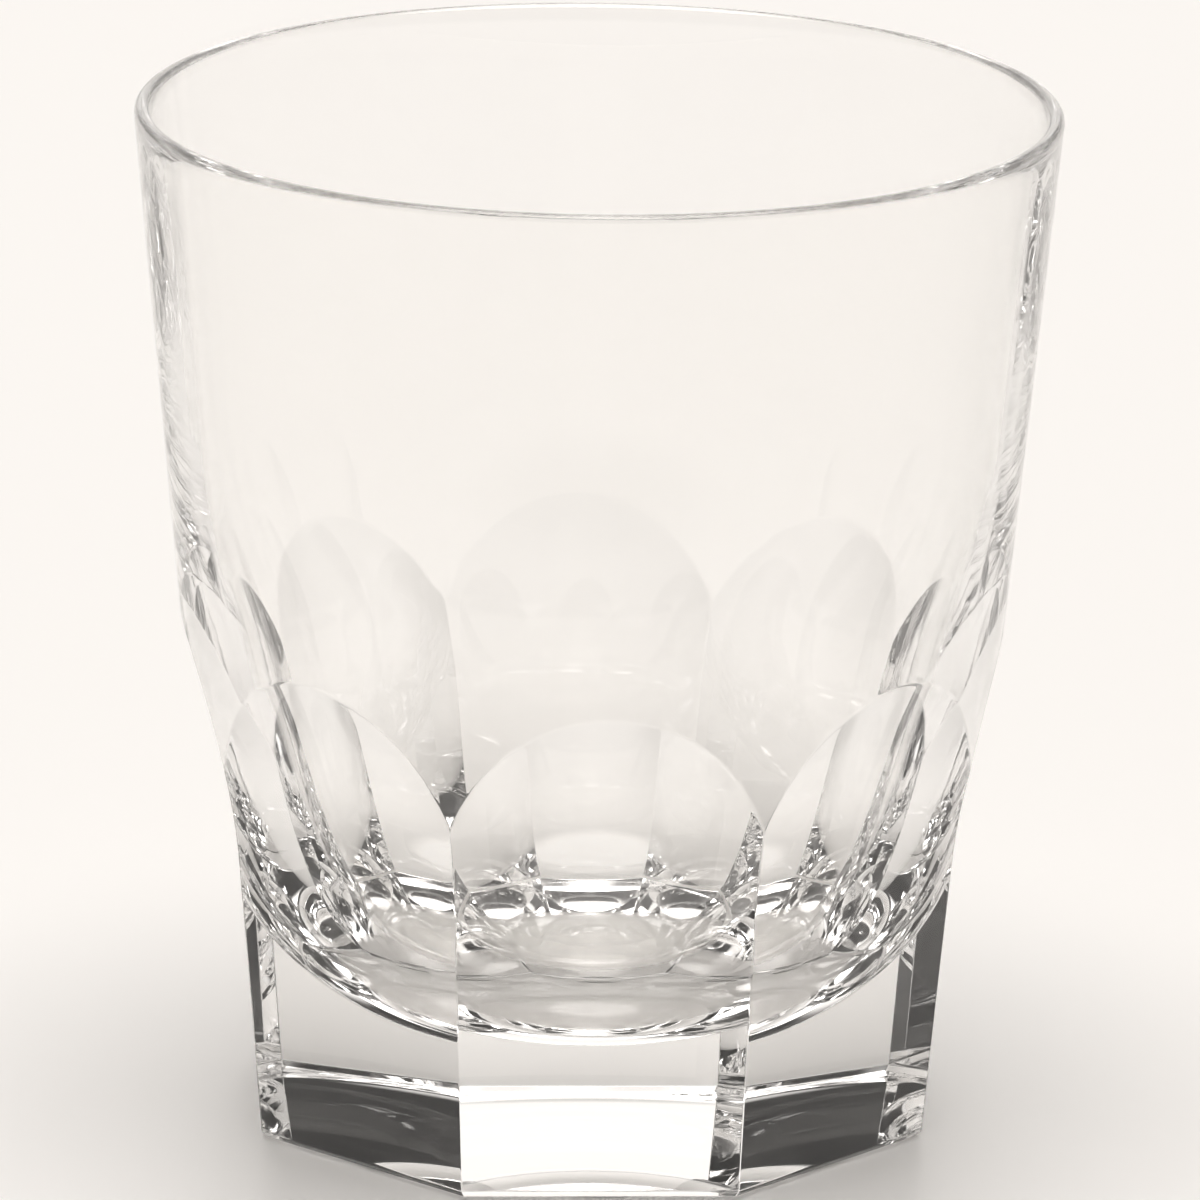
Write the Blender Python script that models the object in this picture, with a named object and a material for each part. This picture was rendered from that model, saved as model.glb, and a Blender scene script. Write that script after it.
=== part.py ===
"""A heavy-based cut-crystal whiskey tumbler: one turned glass body, cut with eight tall panels.

Metres, +Z up. The origin is the centre of the base, so the tumbler stands on z = 0.
Panel 0 faces -Y and the other seven follow at every eighth of a turn.
"""

import math

import bpy

# Overall size
HEIGHT = 0.1005
RIM_RADIUS = 0.0450
FOOT_RADIUS = 0.03565  # of the turned cone at z = 0, before the panels are cut

# Rim and cavity
LIP_RADIUS = 0.0008
FLOOR_THICKNESS = 0.0112
# Turned inside of the glass below the lip, as (radius, height), from the centre of its floor
BOWL_KNOTS = (
    (0.0, FLOOR_THICKNESS),
    (0.0150, 0.0130),
    (0.0222, 0.0163),
    (0.0272, 0.0208),
    (0.0302, 0.0262),
    (0.0326, 0.0335),
    (0.0350, 0.0440),
    (0.0383, 0.0605),
    (0.0409, 0.0815),
    (0.0424, 0.0925),
)

# The eight cut panels: a straight tapered foot, then one arc that runs out through the cone
PANELS = 8
FOOT_APOTHEM = 0.03225
FOOT_SLOPE = 0.085
CUT_ARC_START = 0.0280
CUT_ARC_RADIUS = 0.0660
CUT_TOP = 0.0620
BASE_CHAMFER = 0.00055

# Shallow round hollow ground into the underside, which leaves a flat resting ring round it
HOLLOW_RADIUS = 0.0310
HOLLOW_DEPTH = 0.0018

# Fineness
TURN_STEPS = 80
KNOT_STEPS = 2
LIP_STEPS = 6
HOLLOW_STEPS = 6
FOOT_STEPS = 2
ARC_STEPS = 10
MERGE_DISTANCE = 0.00001

# Lead crystal
GLASS_COLOUR = (0.97, 0.96, 0.94, 1.0)
GLASS_ROUGHNESS = 0.0
GLASS_IOR = 1.545


def clear_scene():
    for obj in list(bpy.data.objects):
        bpy.data.objects.remove(obj, do_unlink=True)


def crystal_material():
    material = bpy.data.materials.new("lead_crystal")
    material.use_nodes = True
    shader = material.node_tree.nodes["Principled BSDF"]
    shader.inputs["Base Color"].default_value = GLASS_COLOUR
    shader.inputs["Roughness"].default_value = GLASS_ROUGHNESS
    shader.inputs["Metallic"].default_value = 0.0
    shader.inputs["IOR"].default_value = GLASS_IOR
    shader.inputs["Transmission Weight"].default_value = 1.0
    return material


def smooth_through(knots, steps):
    """Points on a Catmull-Rom curve through the knots; it leaves the first knot level."""
    mirrored = (-knots[1][0], knots[1][1])
    last, before = knots[-1], knots[-2]
    beyond = (2 * last[0] - before[0], 2 * last[1] - before[1])
    ends = [mirrored, *knots, beyond]
    points = []
    for a, b, c, d in zip(ends, ends[1:], ends[2:], ends[3:]):
        for step in range(steps):
            t = step / steps
            points.append(tuple(
                0.5 * (2 * b[i] + (c[i] - a[i]) * t
                       + (2 * a[i] - 5 * b[i] + 4 * c[i] - d[i]) * t ** 2
                       + (3 * b[i] - a[i] - 3 * c[i] + d[i]) * t ** 3)
                for i in (0, 1)))
    points.append(last)
    return points


def lip_arc():
    """The round lip, from its inner side over the top to its outer side."""
    centre = (RIM_RADIUS - LIP_RADIUS, HEIGHT - LIP_RADIUS)
    angles = [math.pi * (1 - step / LIP_STEPS) for step in range(LIP_STEPS + 1)]
    return [(centre[0] + LIP_RADIUS * math.cos(angle), centre[1] + LIP_RADIUS * math.sin(angle))
            for angle in angles]


def hollow_arc():
    """The underside's hollow, an arc of a large sphere, from the resting ring in to the axis."""
    sphere = (HOLLOW_RADIUS ** 2 + HOLLOW_DEPTH ** 2) / (2 * HOLLOW_DEPTH)
    widest = math.asin(HOLLOW_RADIUS / sphere)
    angles = [widest * (1 - step / HOLLOW_STEPS) for step in range(HOLLOW_STEPS + 1)]
    return [(sphere * math.sin(angle), HOLLOW_DEPTH - sphere * (1 - math.cos(angle)))
            for angle in angles]


def turned_profile():
    """Half section of the turned glass: up its inside, over the lip, down its outside and in below."""
    foot = [(FOOT_RADIUS, 0.0)]
    return smooth_through(BOWL_KNOTS, KNOT_STEPS) + lip_arc() + foot + hollow_arc()


def new_object(name, vertices, edges, faces):
    mesh = bpy.data.meshes.new(name)
    mesh.from_pydata(vertices, edges, faces)
    obj = bpy.data.objects.new(name, mesh)
    bpy.context.scene.collection.objects.link(obj)
    return obj


def turned_glass():
    profile = turned_profile()
    edges = [(i, i + 1) for i in range(len(profile) - 1)]
    obj = new_object("tumbler_glass", [(r, 0.0, z) for r, z in profile], edges, [])
    turn = obj.modifiers.new("turn", "SCREW")
    turn.axis = "Z"
    turn.steps = TURN_STEPS
    turn.render_steps = TURN_STEPS
    turn.use_merge_vertices = True
    turn.merge_threshold = MERGE_DISTANCE
    turn.use_smooth_shade = True
    return obj


def panel_apothem(height):
    """Distance from the axis to the middle of a panel, at one height."""
    straight = FOOT_APOTHEM + FOOT_SLOPE * height
    rise = max(0.0, height - CUT_ARC_START)
    return straight + CUT_ARC_RADIUS - math.sqrt(CUT_ARC_RADIUS ** 2 - rise ** 2)


def panel_levels():
    """(apothem, height) of each ring of the eight-sided form, from the base plane up."""
    foot = [BASE_CHAMFER + (CUT_ARC_START - BASE_CHAMFER) * i / FOOT_STEPS for i in range(FOOT_STEPS)]
    arc = [CUT_ARC_START + (CUT_TOP - CUT_ARC_START) * i / ARC_STEPS for i in range(ARC_STEPS + 1)]
    levels = [(panel_apothem(height), height) for height in foot + arc]
    base = (panel_apothem(0.0) - BASE_CHAMFER, 0.0)
    above_rim = (RIM_RADIUS * 1.2, HEIGHT * 1.1)
    return [base, *levels, above_rim]


def panel_form():
    """The eight-sided form that all the panels together leave: what is outside it is ground away."""
    levels = panel_levels()
    half = math.pi / PANELS
    vertices = []
    for apothem, height in levels:
        corner = apothem / math.cos(half)
        for k in range(PANELS):
            angle = (2 * k + 1) * half
            vertices.append((corner * math.cos(angle), corner * math.sin(angle), height))
    faces = [tuple(reversed(range(PANELS)))]
    for level in range(len(levels) - 1):
        low = level * PANELS
        for k in range(PANELS):
            after = (k + 1) % PANELS
            faces.append((low + k, low + after, low + PANELS + after, low + PANELS + k))
    faces.append(tuple(range(len(vertices) - PANELS, len(vertices))))
    form = new_object("panel_form", vertices, [], faces)
    form.hide_render = True
    form.display_type = "WIRE"
    return form


def cut_panels(glass, form):
    cut = glass.modifiers.new("cut_panels", "BOOLEAN")
    cut.operation = "INTERSECT"
    cut.solver = "EXACT"
    cut.object = form


def main():
    clear_scene()
    glass = turned_glass()
    glass.data.materials.append(crystal_material())
    cut_panels(glass, panel_form())


main()
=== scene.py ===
"""Looks of the cut-crystal whiskey tumbler: one polished lead-crystal body on a plain pale floor.

The glass is rebuilt as a fine turned-and-cut mesh in the place of the plain CAD solid. Metres, +Z up.
"""

import math

import bpy
import numpy as np
from mathutils import Matrix, Vector


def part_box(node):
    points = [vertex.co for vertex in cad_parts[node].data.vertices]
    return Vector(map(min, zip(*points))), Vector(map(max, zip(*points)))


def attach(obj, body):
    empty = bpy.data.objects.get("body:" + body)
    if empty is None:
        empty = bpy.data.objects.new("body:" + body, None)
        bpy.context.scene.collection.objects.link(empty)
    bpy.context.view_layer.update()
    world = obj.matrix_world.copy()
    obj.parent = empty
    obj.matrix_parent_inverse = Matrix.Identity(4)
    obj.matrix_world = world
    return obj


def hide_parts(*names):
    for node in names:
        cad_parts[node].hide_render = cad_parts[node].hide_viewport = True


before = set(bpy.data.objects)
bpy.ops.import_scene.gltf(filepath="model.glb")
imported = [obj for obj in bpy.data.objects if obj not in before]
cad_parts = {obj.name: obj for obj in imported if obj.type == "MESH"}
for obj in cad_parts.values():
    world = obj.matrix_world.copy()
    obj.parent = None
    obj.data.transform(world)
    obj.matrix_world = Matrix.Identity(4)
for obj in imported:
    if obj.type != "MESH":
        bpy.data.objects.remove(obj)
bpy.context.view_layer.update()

BODY = "root"
NODE = "tumbler_glass"
LOW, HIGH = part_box(NODE)

# Turned form, from the CAD solid's box
HEIGHT = HIGH.z
RIM_RADIUS = (HIGH.x - LOW.x) / 2
FOOT_RADIUS = 0.03565  # of the turned cone at z = 0
LIP_RADIUS = 0.0008
BOWL_KNOTS = (  # (radius, height) on the inside, from the centre of its floor to just below the lip
    (0.0, 0.0112),
    (0.0150, 0.0130),
    (0.0222, 0.0163),
    (0.0272, 0.0208),
    (0.0302, 0.0262),
    (0.0326, 0.0335),
    (0.0350, 0.0440),
    (0.0383, 0.0605),
    (0.0409, 0.0815),
    (0.0424, 0.0925),
)

# Eight cut panels: a tapered foot, then an arc that runs out through the cone
PANELS = 8
HALF_PANEL = math.pi / PANELS
FOOT_APOTHEM = 0.03225
FOOT_SLOPE = 0.085
CUT_ARC_START = 0.0280
CUT_ARC_RADIUS = 0.0660
BASE_CHAMFER = 0.00055
HOLLOW_RADIUS = 0.0310  # of the shallow hollow ground into the underside
HOLLOW_DEPTH = 0.0018
EDGE_SOFTNESS = 0.00009  # how much polish takes off where two surfaces meet
BASE_ROUND = 0.00015

# Mesh fineness
MM = 0.001
EDGE_OFFSETS = [x * MM for x in (0.0, 0.035, 0.07, 0.11, 0.2, 0.4, 0.9)]
PANEL_COLUMNS = 20
ARCH_OFFSETS = [x * MM for x in (0.06, 0.13, 0.2, 0.28, 0.42, 0.75)]
FOOT_ROWS = 44
CONE_ROWS = 26
LIP_ROWS = 14
INSIDE_ROWS = 96
HOLLOW_RINGS = 16
RIM_GAP = 0.0004  # between the hollow's edge and the rings beside it
CHAMFER_ROWS = (0.2, 0.5, 0.8, 0.9, 1.0, 1.1, 1.25, 1.6, 2.4)  # heights, in chamfers
BASE_TURNS = (0.0, 15.0, 30.0, 45.0)  # degrees, from the resting face to the chamfer

# Crystal: tint by height, the waviness that hand polishing leaves, and fine scuffs on the resting ring
REFRACTION = 1.545
WALL_TINT = (0.994, 0.991, 0.985)
BASE_TINT = (0.985, 0.979, 0.968)
THICK_BASE = (0.010, 0.040)  # heights between which the tint changes
WAVE_SCALE = 130.0
WAVE_HEIGHT = 0.0000012  # metres
SCUFF_SCALE = 1800.0
SCUFF_EDGES = (0.52, 0.62)  # of the noise, where a scuff starts and is full
SCUFF_HEIGHT = (0.00005, 0.0003)  # heights over which the scuffs end
SCUFF_ROUGHNESS = 0.18

# Stage: a plain pale floor in a dim room, lit by one soft sheet behind the glass and a soft one overhead
FLOOR_RADIUS = 6.0
FLOOR_GAP = 0.0002
FLOOR_STEPS = 96
FLOOR_COLOUR = (0.88, 0.87, 0.855, 1.0)
FLOOR_ROUGHNESS = 0.4
LIGHT_COLOUR = (1.0, 0.966, 0.934, 1.0)
LOW_WALL = 0.75  # brightness of the pale wall all round, where the floor ends
ROOM = 0.03  # of the sides and the front above it
SHEET = 1.15
ROOF = 5.4
LOW_WALL_EDGE = (3.0, 6.0)  # degrees up from the floor
SHEET_EDGE = (10.0, 22.0)  # degrees round from the back
ROOF_EDGE = (58.0, 72.0)  # degrees up from the floor

# Camera: distance along the floor and height in metres, angles in radians, focal length in millimetres
CAMERA_DISTANCE = 1.170
CAMERA_HEIGHT = 0.3783
CAMERA_TURN = math.radians(2.66)
CAMERA_PAN = 0.0006
CAMERA_PITCH = 0.2729
CAMERA_ROLL = 0.0137
CAMERA_LENS = 372.9
CAMERA_SENSOR = 36.0
CAMERA_CLIP = (0.05, 20.0)

LIGHT_BOUNCES = 96  # enough for light trapped between the cuts to find its way out


def cone_radius(z):
    slope = (RIM_RADIUS - FOOT_RADIUS) / (HEIGHT - LIP_RADIUS)
    return FOOT_RADIUS + slope * z


def panel_apothem(z):
    rise = np.clip(z - CUT_ARC_START, 0.0, 0.8 * CUT_ARC_RADIUS)
    return FOOT_APOTHEM + FOOT_SLOPE * z + CUT_ARC_RADIUS - np.sqrt(CUT_ARC_RADIUS ** 2 - rise ** 2)


def soft_min(a, b, softness=EDGE_SOFTNESS):
    """The smaller of a and b, rounded where they are within softness of each other."""
    near = np.maximum(softness - np.abs(a - b), 0.0) / softness
    return np.minimum(a, b) - near ** 2 * softness / 4


def off_panel(azimuth):
    """Angle from the middle of the nearest panel, from 0 to half a panel."""
    return np.abs((azimuth + HALF_PANEL) % (2 * HALF_PANEL) - HALF_PANEL)


def eight_sided(apothem, azimuth):
    """Radius of the eight-sided outline, with its corners softened."""
    off = off_panel(azimuth)
    return soft_min(apothem / np.cos(off), apothem / np.cos(2 * HALF_PANEL - off))


def outer_radius(azimuth, z):
    return soft_min(eight_sided(panel_apothem(z), azimuth), cone_radius(z))


def arch_height(azimuth):
    """Height at which a panel runs out through the cone."""
    z = np.linspace(CUT_ARC_START, CUT_ARC_START + 0.4 * CUT_ARC_RADIUS, 400)
    return np.interp(np.cos(off_panel(azimuth)), panel_apothem(z) / cone_radius(z), z)


def column_azimuths():
    """Azimuths of the mesh's columns: even across each panel, and close together at its edges."""
    corner = FOOT_APOTHEM / math.cos(HALF_PANEL)
    close = np.array(EDGE_OFFSETS) / corner
    across = np.linspace(close[-1], 2 * HALF_PANEL - close[-1], PANEL_COLUMNS)[1:-1]
    one = np.concatenate([close, across, 2 * HALF_PANEL - close[:0:-1]])
    return np.concatenate([HALF_PANEL + 2 * HALF_PANEL * k + one for k in range(PANELS)])


def smooth_curve(points, start_direction, end_direction, samples):
    """Samples of the C2 cubic spline through the points, with given directions at its ends."""
    points = np.array(points)
    s = np.concatenate([[0.0], np.cumsum(np.linalg.norm(np.diff(points, axis=0), axis=1))])
    h = np.diff(s)
    n = len(points)
    matrix = np.zeros((n, n))
    right = np.zeros((n, 2))
    matrix[0, 0] = matrix[-1, -1] = 1.0
    right[0], right[-1] = start_direction, end_direction
    for i in range(1, n - 1):
        matrix[i, i - 1:i + 2] = h[i], 2 * (h[i - 1] + h[i]), h[i - 1]
        right[i] = 3 * (h[i] * (points[i] - points[i - 1]) / h[i - 1]
                        + h[i - 1] * (points[i + 1] - points[i]) / h[i])
    tangents = np.linalg.solve(matrix, right)
    at = np.linspace(0.0, s[-1], samples)
    k = np.clip(np.searchsorted(s, at, side="right") - 1, 0, n - 2)
    t = ((at - s[k]) / h[k])[:, None]
    hk = h[k][:, None]
    return ((2 * t ** 3 - 3 * t ** 2 + 1) * points[k] + (t ** 3 - 2 * t ** 2 + t) * hk * tangents[k]
            + (3 * t ** 2 - 2 * t ** 3) * points[k + 1] + (t ** 3 - t ** 2) * hk * tangents[k + 1])


def lip_point(angle):
    """A point of the round lip; the angle is 0 outwards and pi / 2 at the top."""
    return (RIM_RADIUS - LIP_RADIUS + LIP_RADIUS * math.cos(angle),
            HEIGHT - LIP_RADIUS + LIP_RADIUS * math.sin(angle))


def inside_tilt():
    """Angle from the vertical at which the inside wall meets the lip."""
    near, below = lip_point(math.pi), BOWL_KNOTS[-1]
    return math.atan2(near[0] - below[0], near[1] - below[1])


def outside_rows(azimuth):
    """Heights of the outer wall's rows, one array per row, from the chamfer up to the lip."""
    arch = arch_height(azimuth)
    below = arch - ARCH_OFFSETS[-1]
    above = arch + ARCH_OFFSETS[-1]
    chamfer = [BASE_CHAMFER * x for x in CHAMFER_ROWS]
    start, top = chamfer[-1], lip_point(0.0)[1]
    rows = [np.full_like(azimuth, z) for z in chamfer]
    rows += [start + (below - start) * i / FOOT_ROWS for i in range(1, FOOT_ROWS)]
    rows += [arch - x for x in reversed(ARCH_OFFSETS)] + [arch] + [arch + x for x in ARCH_OFFSETS]
    rows += [above + (top - above) * i / CONE_ROWS for i in range(1, CONE_ROWS)]
    return rows


def chamfered_radius(azimuth, z):
    chamfer = eight_sided(FOOT_APOTHEM - BASE_CHAMFER + z, azimuth)
    return soft_min(outer_radius(azimuth, z), chamfer)


def hollow_height(radius):
    """Height of the underside's hollow, a shallow spherical cap, at that distance from the axis."""
    sphere = (HOLLOW_RADIUS ** 2 + HOLLOW_DEPTH ** 2) / (2 * HOLLOW_DEPTH)
    return math.sqrt(sphere ** 2 - radius ** 2) - (sphere - HOLLOW_DEPTH)


def underside_rings(azimuth, base):
    """Rings from the middle of the hollow out to the octagon of the resting face."""
    even = 0.0 * azimuth
    radii = [HOLLOW_RADIUS * i / HOLLOW_RINGS for i in range(1, HOLLOW_RINGS)]
    radii += [HOLLOW_RADIUS - RIM_GAP, HOLLOW_RADIUS - EDGE_SOFTNESS]
    rings = [(r + even, hollow_height(r) + even) for r in radii]
    rings += [(HOLLOW_RADIUS + EDGE_SOFTNESS + even, even), (HOLLOW_RADIUS + RIM_GAP + even, even)]
    return rings + [(base - x * BASE_ROUND, even) for x in (4.0, 1.0)]


def glass_rings():
    """Rings of the glass, each an array of points, from the base's centre round to the bowl's centre."""
    azimuth = column_azimuths()
    base = eight_sided(FOOT_APOTHEM - BASE_CHAMFER, azimuth)
    rings = underside_rings(azimuth, base)
    tangent = BASE_ROUND * math.tan(math.pi / 8)
    for turn in BASE_TURNS:
        angle = math.radians(turn)
        rings.append((base - tangent + BASE_ROUND * math.sin(angle),
                      BASE_ROUND * (1 - math.cos(angle)) + 0.0 * azimuth))
    rings += [(chamfered_radius(azimuth, z), z) for z in outside_rows(azimuth)]
    tilt = inside_tilt()
    cone_tilt = math.atan((RIM_RADIUS - FOOT_RADIUS) / (HEIGHT - LIP_RADIUS))
    for angle in np.linspace(-cone_tilt, math.pi - tilt, LIP_ROWS):
        r, z = lip_point(angle)
        rings.append((r + 0.0 * azimuth, z + 0.0 * azimuth))
    knots = [*BOWL_KNOTS, lip_point(math.pi - tilt)]
    inside = smooth_curve(knots, (1.0, 0.0), (math.sin(tilt), math.cos(tilt)), INSIDE_ROWS)
    rings += [(r + 0.0 * azimuth, z + 0.0 * azimuth) for r, z in inside[-2:0:-1]]
    return azimuth, rings


def glass_mesh():
    azimuth, rings = glass_rings()
    columns = len(azimuth)
    points = [(0.0, 0.0, HOLLOW_DEPTH)]
    for radius, z in rings:
        points += zip(radius * np.cos(azimuth), radius * np.sin(azimuth), z)
    points.append((0.0, 0.0, BOWL_KNOTS[0][1]))
    last = len(points) - 1
    faces = [(0, 1 + (j + 1) % columns, 1 + j) for j in range(columns)]
    for i in range(len(rings) - 1):
        low, high = 1 + i * columns, 1 + (i + 1) * columns
        for j in range(columns):
            k = (j + 1) % columns
            faces.append((low + j, low + k, high + k, high + j))
    top = 1 + (len(rings) - 1) * columns
    faces += [(top + j, top + (j + 1) % columns, last) for j in range(columns)]
    mesh = bpy.data.meshes.new("tumbler_body")
    mesh.from_pydata(points, [], faces)
    mesh.shade_smooth()
    mesh.validate()
    return mesh


def put(tree, socket, value):
    if isinstance(value, bpy.types.NodeSocket):
        tree.links.new(value, socket)
    else:
        socket.default_value = value


def maths(tree, operation, *values):
    node = tree.nodes.new("ShaderNodeMath")
    node.operation = operation
    for socket, value in zip(node.inputs, values):
        put(tree, socket, value)
    return node.outputs[0]


def noise(tree, place, scale, detail):
    node = tree.nodes.new("ShaderNodeTexNoise")
    put(tree, node.inputs["Vector"], place)
    node.inputs["Scale"].default_value = scale
    node.inputs["Detail"].default_value = detail
    return node.outputs[0]


def fade(tree, value, edges):
    """Goes smoothly from 0 to 1 as the value passes from one edge to the other."""
    node = tree.nodes.new("ShaderNodeMapRange")
    node.interpolation_type = "SMOOTHSTEP"
    put(tree, node.inputs["Value"], value)
    node.inputs["From Min"].default_value = edges[0]
    node.inputs["From Max"].default_value = edges[1]
    return node.outputs["Result"]


def blend(tree, factor, low, high):
    """The low value where the factor is 0, the high value where it is 1."""
    node = tree.nodes.new("ShaderNodeMix")
    for socket, value in zip(node.inputs, (factor, None, low, high)):
        if value is not None:
            put(tree, socket, value)
    return node.outputs[0]


def crystal_material():
    """Polished lead crystal: faintly wavy from hand grinding, and scuffed on its resting ring."""
    material = bpy.data.materials.new("lead_crystal")
    material.use_nodes = True
    tree = material.node_tree
    shader = tree.nodes["Principled BSDF"]
    place = tree.nodes.new("ShaderNodeTexCoord").outputs["Object"]
    height = tree.nodes.new("ShaderNodeSeparateXYZ")
    put(tree, height.inputs[0], place)
    thick = fade(tree, height.outputs["Z"], THICK_BASE)
    tint = tree.nodes.new("ShaderNodeCombineColor")
    for socket, base, wall in zip(tint.inputs, BASE_TINT, WALL_TINT):
        put(tree, socket, blend(tree, thick, base, wall))
    put(tree, shader.inputs["Base Color"], tint.outputs[0])
    waves = noise(tree, place, WAVE_SCALE, 1.0)
    bump = tree.nodes.new("ShaderNodeBump")
    bump.inputs["Strength"].default_value = 1.0
    bump.inputs["Distance"].default_value = WAVE_HEIGHT
    put(tree, bump.inputs["Height"], waves)
    put(tree, shader.inputs["Normal"], bump.outputs[0])
    scuffs = fade(tree, noise(tree, place, SCUFF_SCALE, 4.0), SCUFF_EDGES)
    on_ring = maths(tree, "SUBTRACT", 1.0, fade(tree, height.outputs["Z"], SCUFF_HEIGHT))
    rough = maths(tree, "MULTIPLY", maths(tree, "MULTIPLY", scuffs, on_ring), SCUFF_ROUGHNESS)
    put(tree, shader.inputs["Roughness"], rough)
    shader.inputs["IOR"].default_value = REFRACTION
    shader.inputs["Transmission Weight"].default_value = 1.0
    return material


def make_glass():
    glass = bpy.data.objects.new("crystal_tumbler", glass_mesh())
    bpy.context.scene.collection.objects.link(glass)
    glass.data.materials.append(crystal_material())
    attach(glass, BODY)
    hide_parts(NODE)
    return glass


def make_world():
    """Soft light by direction alone: a low pale wall, a sheet at the back, the roof, and a dim room."""
    world = bpy.data.worlds.new("studio")
    world.use_nodes = True
    bpy.context.scene.world = world
    tree = world.node_tree
    place = tree.nodes.new("ShaderNodeTexCoord")
    split = tree.nodes.new("ShaderNodeSeparateXYZ")
    put(tree, split.inputs[0], place.outputs["Generated"])
    azimuth = maths(tree, "DEGREES", maths(tree, "ARCTAN2", split.outputs["X"], split.outputs["Y"]))
    elevation = maths(tree, "DEGREES", maths(tree, "ARCSINE", split.outputs["Z"]))
    sides = blend(tree, fade(tree, maths(tree, "ABSOLUTE", azimuth), SHEET_EDGE), SHEET, ROOM)
    wall = blend(tree, fade(tree, elevation, LOW_WALL_EDGE), LOW_WALL, sides)
    light = tree.nodes["Background"]
    light.inputs["Color"].default_value = LIGHT_COLOUR
    put(tree, light.inputs["Strength"], blend(tree, fade(tree, elevation, ROOF_EDGE), wall, ROOF))


def floor_material():
    material = bpy.data.materials.new("pale_floor")
    material.use_nodes = True
    shader = material.node_tree.nodes["Principled BSDF"]
    shader.inputs["Base Color"].default_value = FLOOR_COLOUR
    shader.inputs["Roughness"].default_value = FLOOR_ROUGHNESS
    return material


def make_floor():
    turns = [2 * math.pi * i / FLOOR_STEPS for i in range(FLOOR_STEPS)]
    points = [(FLOOR_RADIUS * math.cos(a), FLOOR_RADIUS * math.sin(a), -FLOOR_GAP) for a in turns]
    mesh = bpy.data.meshes.new("floor")
    mesh.from_pydata(points, [], [tuple(range(FLOOR_STEPS))])
    floor = bpy.data.objects.new("floor", mesh)
    bpy.context.scene.collection.objects.link(floor)
    mesh.materials.append(floor_material())


def make_camera():
    data = bpy.data.cameras.new("camera")
    data.lens = CAMERA_LENS
    data.sensor_width = CAMERA_SENSOR
    data.clip_start, data.clip_end = CAMERA_CLIP
    camera = bpy.data.objects.new("camera", data)
    bpy.context.scene.collection.objects.link(camera)
    heading = CAMERA_TURN + CAMERA_PAN
    forward = Vector((math.sin(heading) * math.cos(CAMERA_PITCH),
                      math.cos(heading) * math.cos(CAMERA_PITCH), -math.sin(CAMERA_PITCH)))
    right = Vector((math.cos(heading), -math.sin(heading), 0.0))
    up = right.cross(forward)
    cos, sin = math.cos(CAMERA_ROLL), math.sin(CAMERA_ROLL)
    axes = Matrix((cos * right + sin * up, cos * up - sin * right, -forward)).transposed()
    place = Vector((-CAMERA_DISTANCE * math.sin(CAMERA_TURN),
                    -CAMERA_DISTANCE * math.cos(CAMERA_TURN), CAMERA_HEIGHT))
    camera.matrix_world = Matrix.Translation(place) @ axes.to_4x4()
    bpy.context.scene.camera = camera


def look_settings():
    scene = bpy.context.scene
    scene.view_settings.view_transform = "Standard"
    scene.cycles.max_bounces = LIGHT_BOUNCES
    scene.cycles.transmission_bounces = LIGHT_BOUNCES
    scene.cycles.glossy_bounces = LIGHT_BOUNCES


make_glass()
make_floor()
make_world()
make_camera()
look_settings()
